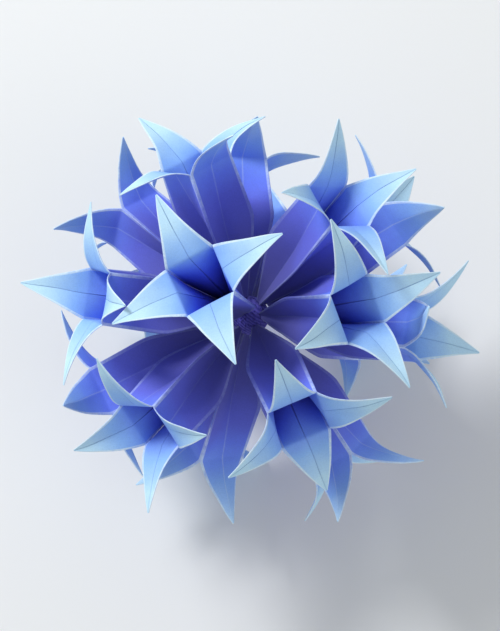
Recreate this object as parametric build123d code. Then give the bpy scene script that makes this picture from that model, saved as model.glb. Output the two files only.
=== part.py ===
from build123d import *
import os
from math import cos, pi, radians, sin, sqrt, tan

# A kusudama ball: florets, each folded from one square sheet of paper, bound together at their
# closed points by a knotted thread. Millimetres, +Z up. The ball stands on six petal tips,
# with the origin on the table under the middle of its box.

# The square sheet
SHEET_SIDE = 75.0            # side of the sheet before it is folded
PAPER_WALL = 0.5             # the layers of folded paper together, in a funnel's wall
TIP_WALL = 0.3               # the same at a petal's tip, where the layers are creased thin

# The folds, as angles of the folded sheet in degrees
PETAL_HALF_ANGLE = 21.0      # between a petal's middle crease and its folded edge
FUNNEL_HALF_ANGLE = 10.0     # between a funnel's axis and the slant that sets its mouth
EDGE_LIFT = 14.0             # how far a petal's two edges rise from its middle crease

# The funnel below its square mouth
POINT_HALF_WIDTH = 0.8       # half the width of the closed point, across its flats
POINT_CREASE = 0.16          # how far the closed point is pinched in at the middle of a wall
POINT_LENGTH = 6.0           # closed point up to where the hollow of the funnel begins
PLEAT_DROP = 17.0            # from the mouth down to where the corner pleats stand out most
PLEAT_REACH = 9.5            # from the funnel's axis to the outer fold of a corner pleat
PLEAT_THICKNESS = 2.1        # folded layers of a pleat, from its outer fold to the hollow
CREASE_REACH = 2.6           # from the axis to the inward crease of each wall between pleats
CREASE_WALL = 0.59           # wall at that crease, measured along the wall's own middle

# A petal's tip
TIP_HALF_WIDTH = 0.18        # half the width of the creased end
LIFT_LENGTH = 4.2            # along the petal, from the mouth to where its edges are fully up

# The binding thread
KNOT_RADIUS = 4.75           # outside of the wound and knotted ball of thread
LAY_WIDTH = 3.0              # one lay of the winding: six doubled threads side by side
LAY_PROUD = 0.2              # how far a lay's crest stands above the grooves beside it
KNOT_CLEARANCE = 0.25        # between the thread and the closed points that it holds

# How each petal curls away from the funnel's axis, from the mouth to its tip, in degrees
UPRIGHT = (25, 45)
CUPPED = (35, 60)
LOOSE = (40, 65)
OPEN = (45, 75)
WIDE = (60, 85)
FLAT = (72, 94)

# Where each floret points, in degrees: its bearing round the ball, its height above the
# ball's waist, its turn about its own axis, and the curl of its four petals in turn.
# The three lowest share one height and turn, and one curl of their two lower petals, so that
# the ball stands level on those six tips.
FOOT_HEIGHT = -50
FOOT_TURN = 45
FOOT_CURL = LOOSE
FLORETS = [
    (190, 73, 14, (FLAT, WIDE, FLAT, FLAT)),
    (42, 46, -20, (WIDE, FLAT, UPRIGHT, UPRIGHT)),
    (-15, 50, 45, (FLAT, OPEN, OPEN, FLAT)),
    (-9, 14, 0, (OPEN, CUPPED, UPRIGHT, CUPPED)),
    (-70, 34, 5, (FLAT, OPEN, FLAT, WIDE)),
    (-128, 18, -40, (FLAT, FLAT, LOOSE, UPRIGHT)),
    (180, 26, -20, (FLAT, WIDE, UPRIGHT, WIDE)),
    (112, 32, 25, (OPEN, FLAT, CUPPED, FLAT)),
    (95, -12, 15, (FLAT, WIDE, FLAT, WIDE)),
    (35, 5, 30, (CUPPED, FLAT, UPRIGHT, WIDE)),
    (136, -14, 32, (LOOSE, LOOSE, LOOSE, OPEN)),
    (-55, -17, 40, (CUPPED, LOOSE, LOOSE, CUPPED)),
    (-157, -22, -10, (WIDE, FLAT, FLAT, FLAT)),
    (74, -46, 45, (CUPPED, CUPPED, CUPPED, CUPPED)),
    (-112, FOOT_HEIGHT, FOOT_TURN, (CUPPED, FOOT_CURL, FOOT_CURL, CUPPED)),
    (12, FOOT_HEIGHT, FOOT_TURN, (LOOSE, FOOT_CURL, FOOT_CURL, CUPPED)),
    (144, FOOT_HEIGHT, FOOT_TURN, (CUPPED, FOOT_CURL, FOOT_CURL, CUPPED)),
]

# How finely a petal's curl is divided, and the four quarters of a square floret
PETAL_STEPS = 6
QUARTERS = 4

# Lengths that follow from the sheet. A petal is what is left of the sheet's half diagonal
# beyond the funnel's slant, and it is as wide as the mouth where it leaves it.
HALF_DIAGONAL = SHEET_SIDE * sqrt(2) / 2
TIP_SPREAD = tan(radians(PETAL_HALF_ANGLE))
MOUTH_SPREAD = tan(radians(FUNNEL_HALF_ANGLE))
SLANT = HALF_DIAGONAL * TIP_SPREAD / (TIP_SPREAD + MOUTH_SPREAD)
MOUTH_HALF_WIDTH = SLANT * MOUTH_SPREAD
PETAL_LENGTH = HALF_DIAGONAL - SLANT
FUNNEL_HEIGHT = sqrt(SLANT**2 - MOUTH_HALF_WIDTH**2)

# Distances from the ball's middle, out along a floret's axis
POINT_LEVEL = KNOT_RADIUS + KNOT_CLEARANCE
HOLLOW_LEVEL = POINT_LEVEL + POINT_LENGTH
MOUTH_LEVEL = POINT_LEVEL + FUNNEL_HEIGHT
PLEAT_LEVEL = MOUTH_LEVEL - PLEAT_DROP


def turned(quarter, out, side, up):
    """A point of one quarter of the floret: out from the axis, to the side, up the axis."""
    return Vector(out, side, up).rotate(Axis.Z, 90 * quarter)


def ring(corner_reach, middle_reach, level):
    """Eight points round the funnel: a corner, then the middle of the wall after it."""
    corner = corner_reach / sqrt(2)
    points = []
    for quarter in range(QUARTERS):
        points.append(turned(quarter, corner, -corner, level))
        points.append(turned(quarter, middle_reach, 0, level))
    return points


def panel(*corners):
    """One flat facet of the folded paper."""
    return Face(Wire.make_polygon(corners, close=True))


def fan(centre, rim):
    """Facets from one point to each side of a ring."""
    count = len(rim)
    return [panel(centre, rim[i], rim[(i + 1) % count]) for i in range(count)]


def band(low, high):
    """Facets between two rings, creased from each low corner to the next high middle."""
    facets = []
    count = len(low)
    for i in range(0, count, 2):
        for corner, middle in ((i, i + 1), ((i + 2) % count, i + 1)):
            facets.append(panel(low[corner], low[middle], high[middle]))
            facets.append(panel(low[corner], high[middle], high[corner]))
    return facets


def petal_section(quarter, curl, step):
    """Points across a petal: under face left, middle, right, then upper face likewise."""
    start, end = curl
    share = step / PETAL_STEPS
    stride = PETAL_LENGTH / PETAL_STEPS
    out = MOUTH_HALF_WIDTH
    up = MOUTH_LEVEL
    for i in range(step):
        lean = radians(start + (end - start) * (i + 0.5) / PETAL_STEPS)
        out += sin(lean) * stride
        up += cos(lean) * stride
    lean = radians(start + (end - start) * share)
    lift = radians(EDGE_LIFT) * min(1, share * PETAL_LENGTH / LIFT_LENGTH)
    half_width = MOUTH_HALF_WIDTH + (TIP_HALF_WIDTH - MOUTH_HALF_WIDTH) * share
    wall = PAPER_WALL + (TIP_WALL - PAPER_WALL) * share
    points = []
    for rise in (0, wall):
        for side in (-1, 0, 1):
            raised = abs(side) * half_width * sin(lift) + rise
            across = side * half_width * cos(lift)
            points.append(turned(quarter, out - cos(lean) * raised, across, up + sin(lean) * raised))
    return points


def petal(quarter, curl, outer_mouth, inner_mouth):
    """Facets of one petal, from its side of the mouth to its blunt creased tip."""
    places = [2 * quarter, 2 * quarter + 1, (2 * quarter + 2) % len(outer_mouth)]
    last = [outer_mouth[i] for i in places] + [inner_mouth[i] for i in places]
    facets = []
    for step in range(1, PETAL_STEPS + 1):
        this = petal_section(quarter, curl, step)
        for middle, edge in ((1, 0), (1, 2), (4, 3), (4, 5)):
            facets.append(panel(last[middle], last[edge], this[middle]))
            facets.append(panel(last[edge], this[edge], this[middle]))
        for under, upper in ((0, 3), (2, 5)):
            facets.append(panel(last[under], this[under], this[upper]))
            facets.append(panel(last[under], this[upper], last[upper]))
        last = this
    for under, upper in ((0, 3), (2, 5)):
        facets.append(panel(last[under], last[1], last[4]))
        facets.append(panel(last[under], last[4], last[upper]))
    return facets


def floret(curls):
    """One folded sheet, standing on its closed point's level with its mouth upwards."""
    mouth_corner = MOUTH_HALF_WIDTH * sqrt(2)
    wall_corner = PAPER_WALL * sqrt(2)
    outer_mouth = ring(mouth_corner, MOUTH_HALF_WIDTH, MOUTH_LEVEL)
    inner_mouth = ring(mouth_corner - wall_corner, MOUTH_HALF_WIDTH - PAPER_WALL, MOUTH_LEVEL)
    outer_pleat = ring(PLEAT_REACH, CREASE_REACH, PLEAT_LEVEL)
    inner_pleat = ring(PLEAT_REACH - PLEAT_THICKNESS, CREASE_REACH - CREASE_WALL, PLEAT_LEVEL)
    point = ring(POINT_HALF_WIDTH * sqrt(2), POINT_HALF_WIDTH - POINT_CREASE, POINT_LEVEL)
    facets = fan(Vector(0, 0, POINT_LEVEL), point)
    facets += band(point, outer_pleat)
    facets += band(outer_pleat, outer_mouth)
    facets += fan(Vector(0, 0, HOLLOW_LEVEL), inner_pleat)
    facets += band(inner_pleat, inner_mouth)
    for quarter, curl in enumerate(curls):
        facets += petal(quarter, curl, outer_mouth, inner_mouth)
    return Solid(Shell(facets))


def pointed(shape, bearing, height, turn):
    """The floret swung about the ball's middle to where it points."""
    out = Vector(1, 0, 0).rotate(Axis.Y, -height).rotate(Axis.Z, bearing)
    upward = Vector(0, 0, 1).rotate(Axis.Y, -height).rotate(Axis.Z, bearing)
    first_petal = upward.rotate(Axis((0, 0, 0), out), turn)
    return shape.moved(Plane(origin=(0, 0, 0), x_dir=first_petal, z_dir=out).location)


def knot_rim(radius, share):
    """A point of the knot's outline, by its share of the way from the lower pole up."""
    angle = radians(180 * share - 90)
    return Vector(radius * cos(angle), 0, radius * sin(angle))


def thread_knot():
    """The ball of thread, wound in lays side by side, each rising to a crest from its grooves."""
    groove = KNOT_RADIUS - LAY_PROUD
    lays = round(pi * KNOT_RADIUS / LAY_WIDTH)
    outline = [knot_rim(groove, 0)]
    for lay in range(lays):
        outline += [knot_rim(KNOT_RADIUS, (lay + 0.5) / lays), knot_rim(groove, (lay + 1) / lays)]
    return Solid.revolve(Face(Wire.make_polygon(outline, close=True)), 360, Axis.Z)


nodes = {}
for number, (bearing, height, turn, curls) in enumerate(FLORETS, start=1):
    nodes[f"floret_{number:02d}"] = pointed(floret(curls), bearing, height, turn)
nodes["binding_thread"] = thread_knot()

# Everything is set down together, so that the lowest petal tips touch the table at z = 0
boxes = [shape.bounding_box() for shape in nodes.values()]
middle_x = (min(box.min.X for box in boxes) + max(box.max.X for box in boxes)) / 2
middle_y = (min(box.min.Y for box in boxes) + max(box.max.Y for box in boxes)) / 2
lowest = min(box.min.Z for box in boxes)
to_table = Location((-middle_x, -middle_y, -lowest))
os.makedirs("parts", exist_ok=True)
for name, shape in nodes.items():
    export_step(shape.moved(to_table), f"parts/{name}.step")
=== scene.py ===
from math import cos, hypot, pi, radians, sin, sqrt, tan

import bmesh
import bpy
from mathutils import Euler, Matrix, Vector, noise


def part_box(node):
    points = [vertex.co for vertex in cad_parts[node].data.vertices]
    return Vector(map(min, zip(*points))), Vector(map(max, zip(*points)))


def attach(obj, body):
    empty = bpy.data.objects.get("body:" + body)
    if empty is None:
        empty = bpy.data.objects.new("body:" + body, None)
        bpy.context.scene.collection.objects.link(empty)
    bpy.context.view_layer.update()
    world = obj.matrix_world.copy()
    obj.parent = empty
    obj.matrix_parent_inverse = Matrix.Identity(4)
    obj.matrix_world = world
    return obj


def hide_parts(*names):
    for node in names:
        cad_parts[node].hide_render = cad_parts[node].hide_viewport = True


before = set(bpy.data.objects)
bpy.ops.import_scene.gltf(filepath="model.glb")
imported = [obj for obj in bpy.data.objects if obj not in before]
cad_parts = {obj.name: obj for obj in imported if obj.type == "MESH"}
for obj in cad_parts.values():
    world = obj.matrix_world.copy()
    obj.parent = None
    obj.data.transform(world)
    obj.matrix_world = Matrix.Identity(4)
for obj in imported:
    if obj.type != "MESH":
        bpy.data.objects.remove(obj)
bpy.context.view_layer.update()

bpy.ops.object.select_all(action="DESELECT")


# The florets.
# Each is one square sheet of thin dyed craft paper. Its four corners are kite-folded, so that
# every petal is two layers thick with its raw edges meeting along the middle, and the walls
# below are pleated together at the corners into a funnel that closes to a point.

MM = 0.001

# The sheet and its folds, the same as the solids have, in mm and degrees
SHEET_SIDE = 75.0
PETAL_HALF_ANGLE = 21.0      # between a petal's middle crease and its folded edge
FUNNEL_HALF_ANGLE = 10.0     # between a funnel's axis and the slant that sets its mouth
EDGE_LIFT = 14.0             # how far a petal's two edges rise from its middle crease
LIFT_LENGTH = 4.2            # along the petal, from the mouth to where its edges are fully up
POINT_HALF_WIDTH = 0.8       # half the width of the closed point
POINT_CREASE = 0.16          # how far the closed point is pinched in at the middle of a wall
POINT_LEVEL = 5.0            # from the ball's middle to a closed point
PLEAT_DROP = 17.0            # from the mouth down to where the corner pleats stand out most
PLEAT_REACH = 9.5            # from the funnel's axis to the outer fold of a corner pleat
CREASE_REACH = 2.6           # from the axis to the inward crease of each wall between pleats
TIP_HALF_WIDTH = 0.18        # half the width of a petal's creased end

# The separate layers of paper, which the solids have pressed into one wall
PAPER = 0.14                 # one layer, drawn a little thicker than the real 0.1
LAYER_GAP = 0.28             # from the middle of one layer to the middle of the next
TIP_PRESS = 0.6              # share of that gap which is left at a petal's creased tip
NARROW_WALL = 3.0            # half width of wall under which its layers draw together
FOLD_SHARE = 0.4             # most of half a wall that its folded edge's round may take up
SLIT_SHUT = 0.05             # half the opening between the raw edges, in the funnel
SLIT_OPEN = 0.11             # the same where a petal gapes
EDGE_CURL = 0.15             # how far the raw edges stand up there
GAPE_LEAN = 1.6              # above 1 a petal gapes nearer to its tip than halfway
GAPE_USUAL = 0.6             # how much of its gape and curl a raw edge usually has
GAPE_SPREAD = 0.9            # how much one raw edge may differ from another in that
PLEAT_GAP = 0.1              # from a pleat's layer to the plane between two neighbours
PETAL_WAVER = 0.5            # how far a petal strays from its even curl, halfway along
WALL_WAVER = 0.4             # how far a wall bulges between its folds
WAVER_SPAN = 6.0             # rough distance from one bulge to the next
DIP_AND_TOP_LIGHT_SPREAD = 0.14            # how far the dye's run may shift from one sheet to another, partly at random and partly painted light that leaves the top florets paler
CREASE_SHARPNESS = 0.85      # of the crease down the middle of a strip, once it is smoothed
SMOOTHING = 2                # levels of subdivision
FACET_ANGLE = 24.0           # over which an edge of the finished paper stays sharp

# Where in the noise each unevenness is read, in the noise's own units
FLORET_APART = 3.1           # from one floret to the next
STRIP_APART = 5.7            # from one strip of a floret to the next
SIDE_APART = 0.9             # to either side for a petal's two raw edges
GAPE_PLACE = 4.3             # where the gaping of those edges is read
TOP_LIGHT_DIP_PLACE = (0.5, 7.31)      # where that shift is read, placed so that the florets at the top of the ball come out paler: painted light
WAVER_SEED = 7               # without a seed, the clock would give each run another waver
noise.seed_set(WAVER_SEED)

HALF_DIAGONAL = SHEET_SIDE * sqrt(2) / 2
TIP_SPREAD = tan(radians(PETAL_HALF_ANGLE))
MOUTH_SPREAD = tan(radians(FUNNEL_HALF_ANGLE))
SLANT = HALF_DIAGONAL * TIP_SPREAD / (TIP_SPREAD + MOUTH_SPREAD)
MOUTH_HALF_WIDTH = SLANT * MOUTH_SPREAD
PETAL_LENGTH = HALF_DIAGONAL - SLANT
FUNNEL_HEIGHT = sqrt(SLANT**2 - MOUTH_HALF_WIDTH**2)
MOUTH_LEVEL = POINT_LEVEL + FUNNEL_HEIGHT
PLEAT_LEVEL = MOUTH_LEVEL - PLEAT_DROP

# Rows of the strip: closed point to pleat, pleat to mouth, and mouth to tip, set closer
# together where the paper turns sharply
LOWER_ROWS = (0.0, 0.5, 1.0)
UPPER_ROWS = (0.15, 0.6, 0.96)
PETAL_ROWS = (0.0, 0.04, 0.2, 0.4, 0.6, 0.8, 0.96, 1.0)
FUNNEL_ROWS = len(LOWER_ROWS) + len(UPPER_ROWS)
ROWS = FUNNEL_ROWS + len(PETAL_ROWS)
# Columns of half the strip, from the middle crease round the folded edge to the raw edge
HALF_COLUMNS = 6
FOLD_COLUMNS = (0, 2, 3, 4)  # those on the crease and round the folded edge


def between(low, high, share):
    """A value part of the way from low to high."""
    return low + (high - low) * share


def wall_row(row):
    """Middle crease's reach, corner's reach and level of one row of a funnel's wall."""
    point = (POINT_HALF_WIDTH - POINT_CREASE, POINT_HALF_WIDTH, POINT_LEVEL)
    pleat = (CREASE_REACH, PLEAT_REACH / sqrt(2), PLEAT_LEVEL)
    mouth = (MOUTH_HALF_WIDTH, MOUTH_HALF_WIDTH, MOUTH_LEVEL)
    if row < len(LOWER_ROWS):
        return [between(a, b, LOWER_ROWS[row]) for a, b in zip(point, pleat)]
    return [between(a, b, UPPER_ROWS[row - len(LOWER_ROWS)]) for a, b in zip(pleat, mouth)]


def across(column, half, room, gape):
    """Where a column lies on half a strip: how far from the middle, and how deep inside."""
    radius = min(room / 2, FOLD_SHARE * half)
    slit = min(between(SLIT_SHUT, SLIT_OPEN, gape), FOLD_SHARE * half)
    places = ((0, 0), (half / 2, 0), (half - radius, 0), (half, room / 2),
              (half - radius, room), (half / 2, room), (slit, room))
    return places[column]


def wall_point(row, column, side):
    """A point of a funnel's wall, as out from the funnel's axis, to the side, and up."""
    middle, corner, level = wall_row(row)
    half = hypot(corner - middle, corner)
    room = LAYER_GAP * min(1, half / NARROW_WALL)
    along, deep = across(column, half, room, 0)
    deep += PAPER / 2
    out = middle + (along * (corner - middle) - deep * corner) / half
    aside = (along * corner + deep * (corner - middle)) / half
    near = PLEAT_GAP - (out - aside) / sqrt(2)
    if near > 0:
        out += near / sqrt(2)
        aside -= near / sqrt(2)
    return Vector((out, side * aside, level))


def petal_point(share, column, side, curl, unrest):
    """A point of a petal, the same way, by its share of the way from the mouth to the tip."""
    start, end = (radians(angle) for angle in curl)
    lean = between(start, end, share)
    out = MOUTH_HALF_WIDTH + (cos(start) - cos(lean)) / (end - start) * PETAL_LENGTH
    up = MOUTH_LEVEL + (sin(lean) - sin(start)) / (end - start) * PETAL_LENGTH
    if share == 0:
        # The mouth's own row leans halfway between the wall and the petal
        lean /= 2
    lift = radians(EDGE_LIFT) * min(1, share * PETAL_LENGTH / LIFT_LENGTH)
    half = between(MOUTH_HALF_WIDTH, TIP_HALF_WIDTH, share)
    room = LAYER_GAP * between(1, TIP_PRESS, share)
    gape = unrest * sin(pi * share**GAPE_LEAN) ** 2
    along, deep = across(column, half, room, gape)
    deep += PAPER / 2
    if column == HALF_COLUMNS:
        deep += EDGE_CURL * gape
    raised = along * sin(lift) + deep
    return Vector((out - cos(lean) * raised, side * along * cos(lift), up + sin(lean) * raised))


def waver(point, row, column, seed):
    """How far the paper strays from its even fold at a point: not at all along a wall's folds."""
    if row >= FUNNEL_ROWS:
        reach = PETAL_WAVER * sin(pi * PETAL_ROWS[row - FUNNEL_ROWS])
    elif column in FOLD_COLUMNS:
        reach = 0
    else:
        reach = WALL_WAVER * sin(pi * (point.z - POINT_LEVEL) / FUNNEL_HEIGHT)
    return noise.noise_vector(point / WAVER_SPAN + seed) * reach


def strip_point(row, column, side, curl, seed):
    """A point of one folded strip, with the unevenness of paper folded by hand."""
    if row < FUNNEL_ROWS:
        point = wall_point(row, column, side)
    else:
        own = noise.noise(seed + Vector((side * SIDE_APART, 0, GAPE_PLACE)))
        unrest = GAPE_USUAL + GAPE_SPREAD * own
        point = petal_point(PETAL_ROWS[row - FUNNEL_ROWS], column, side, curl, unrest)
    return point + waver(point, row, column, seed)


def sheet_share(row):
    """How far a row lies along the sheet's half diagonal, from its middle to its corner."""
    if row < FUNNEL_ROWS:
        level = wall_row(row)[2]
        return (level - POINT_LEVEL) / FUNNEL_HEIGHT * SLANT / HALF_DIAGONAL
    return (SLANT + PETAL_LENGTH * PETAL_ROWS[row - FUNNEL_ROWS]) / HALF_DIAGONAL


def folded_strip(quarter, curl, number):
    """One of the four strips: a flat grid laid out by row and column, then folded up."""
    columns = 2 * HALF_COLUMNS
    bpy.ops.mesh.primitive_grid_add(x_subdivisions=columns, y_subdivisions=ROWS - 1, size=2)
    strip = bpy.context.active_object
    mesh = strip.data
    places = [(round((v.co.x + 1) / 2 * columns), round((v.co.y + 1) / 2 * (ROWS - 1)))
              for v in mesh.vertices]
    turn = Matrix.Rotation(radians(90 * quarter), 3, "Z")
    # Moved on for each strip, so that no two waver alike
    seed = Vector((number * FLORET_APART, quarter * STRIP_APART, 0))
    for vertex, (place, row) in zip(mesh.vertices, places):
        side = 1 if place >= HALF_COLUMNS else -1
        column = abs(place - HALF_COLUMNS)
        vertex.co = turn @ strip_point(row, column, side, curl, seed) * MM
    # Each sheet's shift of its colour run, partly random and partly painted light: the florets at the top
    # of the ball come out paler
    dip_and_top_light = DIP_AND_TOP_LIGHT_SPREAD * noise.noise(Vector((number * FLORET_APART, *TOP_LIGHT_DIP_PLACE)))
    for loop in mesh.loops:
        place, row = places[loop.vertex_index]
        mesh.uv_layers.active.data[loop.index].uv = (place / columns, sheet_share(row) + dip_and_top_light)
    bpy.ops.object.mode_set(mode="EDIT")
    bpy.ops.mesh.select_mode(type="EDGE")
    bpy.ops.mesh.select_all(action="DESELECT")
    sheet = bmesh.from_edit_mesh(mesh)
    for edge in sheet.edges:
        edge.select = all(places[v.index][0] == HALF_COLUMNS for v in edge.verts)
    sheet.select_flush_mode()
    bmesh.update_edit_mesh(mesh)
    bpy.ops.transform.edge_crease(value=CREASE_SHARPNESS)
    bpy.ops.object.mode_set(mode="OBJECT")
    return strip


def folded_sheet(name, number, curls):
    """Four strips joined into one sheet, smoothed, and given the paper's thickness."""
    strips = [folded_strip(quarter, curl, number) for quarter, curl in enumerate(curls)]
    bpy.ops.object.select_all(action="DESELECT")
    for strip in strips:
        strip.select_set(True)
    bpy.context.view_layer.objects.active = strips[0]
    bpy.ops.object.join()
    piece = bpy.context.active_object
    piece.name = name
    piece.data.name = name
    bpy.ops.object.modifier_add(type="SUBSURF")
    piece.modifiers[-1].levels = SMOOTHING
    piece.modifiers[-1].render_levels = SMOOTHING
    bpy.ops.object.modifier_apply(modifier=piece.modifiers[-1].name)
    bpy.ops.object.modifier_add(type="SOLIDIFY")
    piece.modifiers[-1].thickness = PAPER * MM
    piece.modifiers[-1].offset = 0
    bpy.ops.object.modifier_apply(modifier=piece.modifiers[-1].name)
    bpy.ops.object.shade_smooth_by_angle(angle=radians(FACET_ANGLE))
    return piece


def swing_out(piece, bearing, height, turn):
    """Swing a floret about the ball's middle to where it points."""
    swing = Matrix.Rotation(radians(bearing), 3, "Z") @ Matrix.Rotation(radians(-height), 3, "Y")
    axis = swing @ Vector((1, 0, 0))
    first_petal = Matrix.Rotation(radians(turn), 3, axis) @ swing @ Vector((0, 0, 1))
    axes = Matrix((first_petal, axis.cross(first_petal), axis)).transposed()
    piece.matrix_world = Matrix.Translation(ball_middle) @ axes.to_4x4()
    bpy.ops.object.transform_apply(location=True, rotation=True, scale=True)
    piece.select_set(False)


def srgb(code):
    """A hex colour as the linear values that a shader takes."""
    values = [int(code[i:i + 2], 16) / 255 for i in (1, 3, 5)]
    linear = [v / 12.92 if v <= 0.04045 else ((v + 0.055) / 1.055) ** 2.4 for v in values]
    return (*linear, 1)


def node(material, kind, settings=None, inputs=None):
    """One shader node, with its settings, and its inputs as values or as other nodes' outputs."""
    made = material.node_tree.nodes.new(kind)
    for key, value in (settings or {}).items():
        setattr(made, key, value)
    for key, value in (inputs or {}).items():
        if isinstance(value, bpy.types.NodeSocket):
            material.node_tree.links.new(value, made.inputs[key])
        else:
            made.inputs[key].default_value = value
    return made


def new_material(name):
    """A material with no nodes in it yet."""
    material = bpy.data.materials.new(name)
    material.use_nodes = True
    material.node_tree.nodes.clear()
    return material


# Craft paper dyed deep violet blue at the sheet's middle, running out through cornflower to a pale
# icy blue at the corners; that pale is partly painted light, the washed-out glare of sunlit petals.
# The layer that is folded in is paler again, painted light that lifts the funnels' shaded insides.
# It is matt, with fine fibres, and a pale line runs along every fold, partly where the dye has
# cracked off and partly a painted highlight. On the UV map, X runs across a strip and Y from the
# sheet's middle out, moved a little for each sheet: at random, and paler for the florets at the
# top of the ball, which is painted light.
# The run's pale end is partly painted light: the glare of sunlit petals, made the paper's own colour.
DYE_RUN_WITH_GLARE = ((0.0, "#5a5a9c"), (0.3, "#6062b6"), (0.52, "#6870da"), (0.64, "#6f88f6"),
       (0.74, "#7fa4ff"), (0.84, "#94c2ff"), (1.0, "#c2e8ff"))
DYE_PATCH = 7.0              # size of the uneven patches that the dye leaves, in mm
DYE_SHIFT = 0.12             # how far along its run the dye strays in them
INSIDE_PAINTED_LIGHT = 0.12          # how much further along that run the folded-in layer looks: painted light lifting the funnels' shaded insides
INSIDE_LIGHT_FADE = 0.05           # over which it turns paler, as a share of X
# Colour of the pale line along a fold: partly bare paper where the dye cracked off, partly a painted
# highlight
FOLD_PALE_AND_HIGHLIGHT = "#e6f8ff"
FOLD_FADE = 0.008            # over which the pale line along a fold ends, as a share of X
RAGGED = 0.016               # how far that end strays
CREASE_WEAR_AND_HIGHLIGHT = 0.45           # how strong the pale line is down the middle crease
EDGE_WEAR_AND_HIGHLIGHT = 1.0              # the same along the folded edges
INNER_WEAR_AND_HIGHLIGHT = 0.15            # share of either that shows near the sheet's middle
WEAR_AND_HIGHLIGHT_RUN = (0.45, 0.75)      # Y where it starts to grow, and where it shows in full
CRACK = 1.6                  # spacing of the breaks in a fold's pale line, where the dye has cracked off and the painted highlight comes and goes, in mm
CRACK_TONES = (0.3, 0.65)    # tones of the noise that count as least and most cracked
CRACK_SHOWS = (0.3, 0.95)    # how much of the pale line shows at those
FIBRE = 0.35                 # spacing of the paper's fibres in mm, drawn coarse to show
FIBRE_HEIGHT = 0.04          # in mm
FIBRE_TONES = (0.25, 0.75)   # tones of the noise that count as the darkest and palest fibre
FIBRE_SHADES = (0.92, 1.06)  # what those multiply the dye's colour by
PAPER_ROUGHNESS = (0.66, 0.86)
MIDDLE_CREASE = 0.5          # X of the crease down the middle of a strip
HALF_FACE = 0.25             # from there to a folded edge, as a share of X
FOLDED_EDGES = (MIDDLE_CREASE - HALF_FACE, MIDDLE_CREASE + HALF_FACE)


def distance_from(paper, x, line):
    """How far across the strip a place is from a line along it, as a share of X."""
    aside = node(paper, "ShaderNodeMath", {"operation": "SUBTRACT"}, {0: x, 1: line})
    return node(paper, "ShaderNodeMath", {"operation": "ABSOLUTE"}, {0: aside.outputs[0]}).outputs[0]


def strayed(paper, value, texture, reach):
    """A value moved up or down by a noise texture, by at most half the reach either way."""
    stray = node(paper, "ShaderNodeMath", {"operation": "MULTIPLY_ADD"}, {
        0: texture.outputs["Fac"], 1: reach, 2: -reach / 2})
    return node(paper, "ShaderNodeMath", {"operation": "ADD"}, {0: value, 1: stray.outputs[0]}).outputs[0]


def dye_and_painted_light(paper, x, y, place):
    """The colour run from the sheet's middle to its corners, pale at the corners partly as painted glare,
    and paler on the folded-in layer as painted light.
    """
    patches = node(paper, "ShaderNodeTexNoise", inputs={
        "Vector": place, "Scale": 1 / (DYE_PATCH * MM), "Detail": 3.0, "Roughness": 0.55})
    # Painted light: the folded-in layer, inside the funnels, is made paler to lift their shade.
    folded_in_light = node(paper, "ShaderNodeMapRange", inputs={
        "Value": distance_from(paper, x, MIDDLE_CREASE), "From Min": HALF_FACE,
        "From Max": HALF_FACE + INSIDE_LIGHT_FADE, "To Min": 0.0, "To Max": INSIDE_PAINTED_LIGHT})
    reach = node(paper, "ShaderNodeMath", {"operation": "ADD"}, {
        0: strayed(paper, y, patches, DYE_SHIFT), 1: folded_in_light.outputs["Result"]})
    run_with_glare = node(paper, "ShaderNodeValToRGB", inputs={"Fac": reach.outputs[0]})
    ramp = run_with_glare.color_ramp
    for position, _ in DYE_RUN_WITH_GLARE[1:-1]:
        ramp.elements.new(position)
    for stop, (position, code) in zip(ramp.elements, DYE_RUN_WITH_GLARE):
        stop.position = position
        stop.color = srgb(code)
    return run_with_glare.outputs["Color"]


def worn_and_highlit_folds(paper, x, y, place):
    """Pale ragged lines on the folds, stronger towards the corners: partly where the dye has cracked off,
    partly a painted highlight where a fold catches the light.
    """
    cracks = node(paper, "ShaderNodeTexNoise", inputs={
        "Vector": place, "Scale": 1 / (CRACK * MM), "Detail": 5.0, "Roughness": 0.7})
    edge_round = 1 / (2 * HALF_COLUMNS)
    lines = [(MIDDLE_CREASE, 0.0, CREASE_WEAR_AND_HIGHLIGHT)]
    lines += [(edge, edge_round, EDGE_WEAR_AND_HIGHLIGHT) for edge in FOLDED_EDGES]
    worn_and_highlit = 0.0
    for line, flat, strength in lines:
        far = strayed(paper, distance_from(paper, x, line), cracks, RAGGED)
        fold = node(paper, "ShaderNodeMapRange", {"interpolation_type": "SMOOTHSTEP"}, {
            "Value": far, "From Min": flat + FOLD_FADE, "From Max": flat,
            "To Min": 0.0, "To Max": strength})
        worn_and_highlit = node(paper, "ShaderNodeMath", {"operation": "MAXIMUM"}, {
            0: worn_and_highlit, 1: fold.outputs["Result"]}).outputs[0]
    outward = node(paper, "ShaderNodeMapRange", inputs={
        "Value": y, "From Min": WEAR_AND_HIGHLIGHT_RUN[0], "From Max": WEAR_AND_HIGHLIGHT_RUN[1],
        "To Min": INNER_WEAR_AND_HIGHLIGHT, "To Max": 1.0})
    broken = node(paper, "ShaderNodeMapRange", inputs={
        "Value": cracks.outputs["Fac"], "From Min": CRACK_TONES[0], "From Max": CRACK_TONES[1],
        "To Min": CRACK_SHOWS[0], "To Max": CRACK_SHOWS[1]})
    for part in (outward, broken):
        worn_and_highlit = node(paper, "ShaderNodeMath", {"operation": "MULTIPLY"}, {
            0: worn_and_highlit, 1: part.outputs["Result"]}).outputs[0]
    return worn_and_highlit


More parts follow.
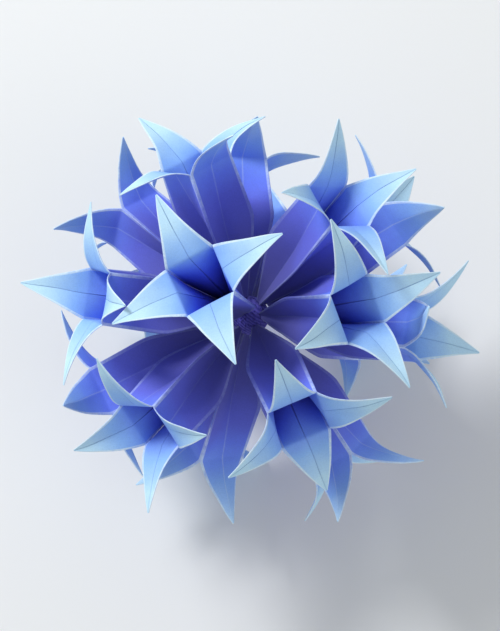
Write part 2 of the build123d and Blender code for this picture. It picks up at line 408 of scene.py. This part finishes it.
def paper_with_painted_light():
    """The paper itself: its dye with its painted light, the pale lines on its folds that are partly wear
    and partly a painted highlight, and its fibres.
    """
    paper = new_material("dyed_paper_with_painted_light")
    sheet = node(paper, "ShaderNodeUVMap", {"uv_map": "UVMap"})
    parts = node(paper, "ShaderNodeSeparateXYZ", inputs={"Vector": sheet.outputs["UV"]})
    x, y = parts.outputs["X"], parts.outputs["Y"]
    place = node(paper, "ShaderNodeTexCoord").outputs["Object"]
    # The pale fold lines are mixed over the dye: partly wear, partly a painted highlight
    colour = node(paper, "ShaderNodeMix", {"data_type": "RGBA"}, {
        "Factor": worn_and_highlit_folds(paper, x, y, place), 6: dye_and_painted_light(paper, x, y, place),
        7: srgb(FOLD_PALE_AND_HIGHLIGHT)})
    fibres = node(paper, "ShaderNodeTexNoise", inputs={
        "Vector": place, "Scale": 1 / (FIBRE * MM), "Detail": 4.0, "Roughness": 0.6})
    grain = node(paper, "ShaderNodeMapRange", inputs={
        "Value": fibres.outputs["Fac"], "From Min": FIBRE_TONES[0], "From Max": FIBRE_TONES[1],
        "To Min": FIBRE_SHADES[0], "To Max": FIBRE_SHADES[1]})
    toned = node(paper, "ShaderNodeVectorMath", {"operation": "SCALE"}, {
        0: colour.outputs[2], "Scale": grain.outputs["Result"]})
    bump = node(paper, "ShaderNodeBump", inputs={
        "Height": fibres.outputs["Fac"], "Strength": 0.35, "Distance": FIBRE_HEIGHT * MM})
    rough = node(paper, "ShaderNodeMapRange", inputs={
        "Value": fibres.outputs["Fac"], "To Min": PAPER_ROUGHNESS[0],
        "To Max": PAPER_ROUGHNESS[1]})
    skin = node(paper, "ShaderNodeBsdfPrincipled", inputs={
        "Base Color": toned.outputs[0], "Roughness": rough.outputs["Result"],
        "Specular IOR Level": 0.3, "Normal": bump.outputs["Normal"]})
    node(paper, "ShaderNodeOutputMaterial", inputs={"Surface": skin.outputs["BSDF"]})
    return paper


# How each petal curls away from the funnel's axis, from the mouth to its tip, in degrees
UPRIGHT = (25, 45)
CUPPED = (35, 60)
LOOSE = (40, 65)
OPEN = (45, 75)
WIDE = (60, 85)
FLAT = (72, 94)
# Where each floret points, in degrees: its bearing round the ball, its height above the
# ball's waist, its turn about its own axis, and the curl of its four petals in turn. The solids
# have the same list. It comes from a search for the petal tips that the photograph shows.
FLORETS = [
    (190, 73, 14, (FLAT, WIDE, FLAT, FLAT)),
    (42, 46, -20, (WIDE, FLAT, UPRIGHT, UPRIGHT)),
    (-15, 50, 45, (FLAT, OPEN, OPEN, FLAT)),
    (-9, 14, 0, (OPEN, CUPPED, UPRIGHT, CUPPED)),
    (-70, 34, 5, (FLAT, OPEN, FLAT, WIDE)),
    (-128, 18, -40, (FLAT, FLAT, LOOSE, UPRIGHT)),
    (180, 26, -20, (FLAT, WIDE, UPRIGHT, WIDE)),
    (112, 32, 25, (OPEN, FLAT, CUPPED, FLAT)),
    (95, -12, 15, (FLAT, WIDE, FLAT, WIDE)),
    (35, 5, 30, (CUPPED, FLAT, UPRIGHT, WIDE)),
    (136, -14, 32, (LOOSE, LOOSE, LOOSE, OPEN)),
    (-55, -17, 40, (CUPPED, LOOSE, LOOSE, CUPPED)),
    (-157, -22, -10, (WIDE, FLAT, FLAT, FLAT)),
    (74, -46, 45, (CUPPED, CUPPED, CUPPED, CUPPED)),
    (-112, -50, 45, (CUPPED, LOOSE, LOOSE, CUPPED)),
    (12, -50, 45, (LOOSE, LOOSE, LOOSE, CUPPED)),
    (144, -50, 45, (CUPPED, LOOSE, LOOSE, CUPPED)),
]
knot_low, knot_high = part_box("binding_thread")
ball_middle = (knot_low + knot_high) / 2
paper = paper_with_painted_light()
for number, (bearing, height, turn, curls) in enumerate(FLORETS, start=1):
    cad_node = f"floret_{number:02d}"
    piece = folded_sheet(f"folded_{cad_node}", number, curls)
    swing_out(piece, bearing, height, turn)
    piece.data.materials.append(paper)
    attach(piece, "root")
    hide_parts(cad_node)


# The binding thread.
# One length of doubled sewing thread, wound round and knotted into a small ball at the middle,
# where it holds the florets by their closed points. It shows only deep between the funnels.

THREAD = 0.5                 # diameter of the doubled thread, in mm
TWIST = 0.6                  # rough length of one twist of it, in mm
TWIST_HEIGHT = 0.06          # of the ridge that a twist makes, in mm
WAVE_RATE = 20               # rough radians a unit that a wave texture of scale 1 runs through
THREAD_DARK = "#3c3690"
THREAD_LIGHT = "#5a55b4"
RIDGE_ANGLE = 60.0           # degrees over which an edge of the thread stays sharp
WINDINGS = 46
POINTS_A_TURN = 32
TILT = 1.2                   # usual tilt of a winding, in radians
TILT_SWAY = 0.9              # how far it sways from that, in radians
SWAY_RATE = 0.43             # how fast it sways, in radians a turn
SHIFT = 0.79                 # how far each turn shifts round, in radians
CORE_DEPTH = 0.7             # how deep the solid core lies under the ball's outside, in threads
CORE_FINENESS = 4            # times that the core's facets are divided


def wound_thread(radius):
    """The thread as one bevelled curve, each turn a little askew from the one before."""
    winding = bpy.data.curves.new("wound_thread", "CURVE")
    winding.dimensions = "3D"
    path = winding.splines.new("POLY")
    path.points.add(WINDINGS * POINTS_A_TURN - 1)
    for i, point in enumerate(path.points):
        turns = i / POINTS_A_TURN
        place = Vector((cos(2 * pi * turns), sin(2 * pi * turns), 0)) * radius
        place.rotate(Euler((0, TILT + TILT_SWAY * sin(turns * SWAY_RATE), turns * SHIFT)))
        point.co = (*(place + ball_middle), 1)
    winding.bevel_depth = THREAD / 2 * MM
    winding.bevel_resolution = 1
    winding.use_fill_caps = True
    return bpy.data.objects.new("wound_thread", winding)


def sewing_thread():
    """Twisted cotton: matt, with a tone and a ridge for each turn of its twist."""
    thread = new_material("cotton_sewing_thread")
    place = node(thread, "ShaderNodeTexCoord").outputs["Object"]
    twist = node(thread, "ShaderNodeTexWave", {"bands_direction": "DIAGONAL"}, {
        "Vector": place, "Scale": 2 * pi / WAVE_RATE / (TWIST * MM), "Distortion": 2.0})
    tone = node(thread, "ShaderNodeMix", {"data_type": "RGBA"}, {
        "Factor": twist.outputs["Fac"], 6: srgb(THREAD_DARK), 7: srgb(THREAD_LIGHT)})
    bump = node(thread, "ShaderNodeBump", inputs={
        "Height": twist.outputs["Fac"], "Strength": 0.5, "Distance": TWIST_HEIGHT * MM})
    skin = node(thread, "ShaderNodeBsdfPrincipled", inputs={
        "Base Color": tone.outputs[2], "Roughness": 0.85, "Normal": bump.outputs["Normal"]})
    node(thread, "ShaderNodeOutputMaterial", inputs={"Surface": skin.outputs["BSDF"]})
    return thread


knot_radius = (knot_high.x - knot_low.x) / 2
winding = wound_thread(knot_radius - THREAD / 2 * MM)
bpy.context.scene.collection.objects.link(winding)
bpy.ops.object.select_all(action="DESELECT")
winding.select_set(True)
bpy.context.view_layer.objects.active = winding
bpy.ops.object.convert(target="MESH")
knot = bpy.context.active_object
core_radius = knot_radius - THREAD * CORE_DEPTH * MM
bpy.ops.mesh.primitive_ico_sphere_add(subdivisions=CORE_FINENESS, radius=core_radius,
                                      location=ball_middle)
bpy.ops.object.transform_apply(location=True, rotation=True, scale=True)
knot.select_set(True)
bpy.context.view_layer.objects.active = knot
bpy.ops.object.join()
bpy.ops.object.shade_smooth_by_angle(angle=radians(RIDGE_ANGLE))
knot.data.materials.append(sewing_thread())
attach(knot, "root")
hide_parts("binding_thread")


# The table.
# A plain pale matt board under the ball, wide enough to fill every view.

TABLE_SIDE = 6.0             # in metres
BOARD_COLOUR = "#eceeee"
bpy.ops.mesh.primitive_plane_add(size=TABLE_SIDE, location=(0, 0, 0))
table = bpy.context.active_object
table.name = "table"
board = new_material("pale_matt_board")
cover = node(board, "ShaderNodeBsdfPrincipled", inputs={
    "Base Color": srgb(BOARD_COLOUR), "Roughness": 0.9, "Specular IOR Level": 0.2})
node(board, "ShaderNodeOutputMaterial", inputs={"Surface": cover.outputs["BSDF"]})
table.data.materials.append(board)


# Lamps and camera.
# A soft window-like lamp at the upper left of the picture, a weak one opposite, and an even
# pale surround. The camera looks down steeply, as it does in the photograph.

VIEW_HEIGHT = 75.0           # degrees above the table
VIEW_DISTANCE = 0.9          # from the ball's middle, in metres
LENS = 210.0                 # in mm
SENSOR = 36.0                # height of the picture's side of the lens, in mm
SURROUND_COLOUR = "#f4f6f8"
SURROUND_STRENGTH = 0.5


def lamp(name, place, side, power):
    """A square lamp that faces the ball."""
    light = bpy.data.lights.new(name, "AREA")
    light.shape = "SQUARE"
    light.size = side
    light.energy = power
    holder = bpy.data.objects.new(name, light)
    holder.location = place
    holder.rotation_euler = (ball_middle - Vector(place)).to_track_quat("-Z", "Y").to_euler()
    bpy.context.scene.collection.objects.link(holder)


lamp("window_lamp", place=(-0.55, 0.5, 0.75), side=0.28, power=7.6)
lamp("fill_lamp", place=(0.7, -0.5, 0.6), side=0.8, power=1.5)

surround = bpy.data.worlds.new("pale_surround")
surround.use_nodes = True
surround.node_tree.nodes["Background"].inputs["Color"].default_value = srgb(SURROUND_COLOUR)
surround.node_tree.nodes["Background"].inputs["Strength"].default_value = SURROUND_STRENGTH
bpy.context.scene.world = surround

camera = bpy.data.objects.new("camera", bpy.data.cameras.new("camera"))
camera.data.sensor_fit = "VERTICAL"
camera.data.sensor_height = SENSOR
camera.data.lens = LENS
offset = Vector((0, -cos(radians(VIEW_HEIGHT)), sin(radians(VIEW_HEIGHT)))) * VIEW_DISTANCE
camera.location = ball_middle + offset
camera.rotation_euler = (-offset).to_track_quat("-Z", "Y").to_euler()
bpy.context.scene.collection.objects.link(camera)
bpy.context.scene.camera = camera
bpy.context.scene.view_settings.view_transform = "Standard"
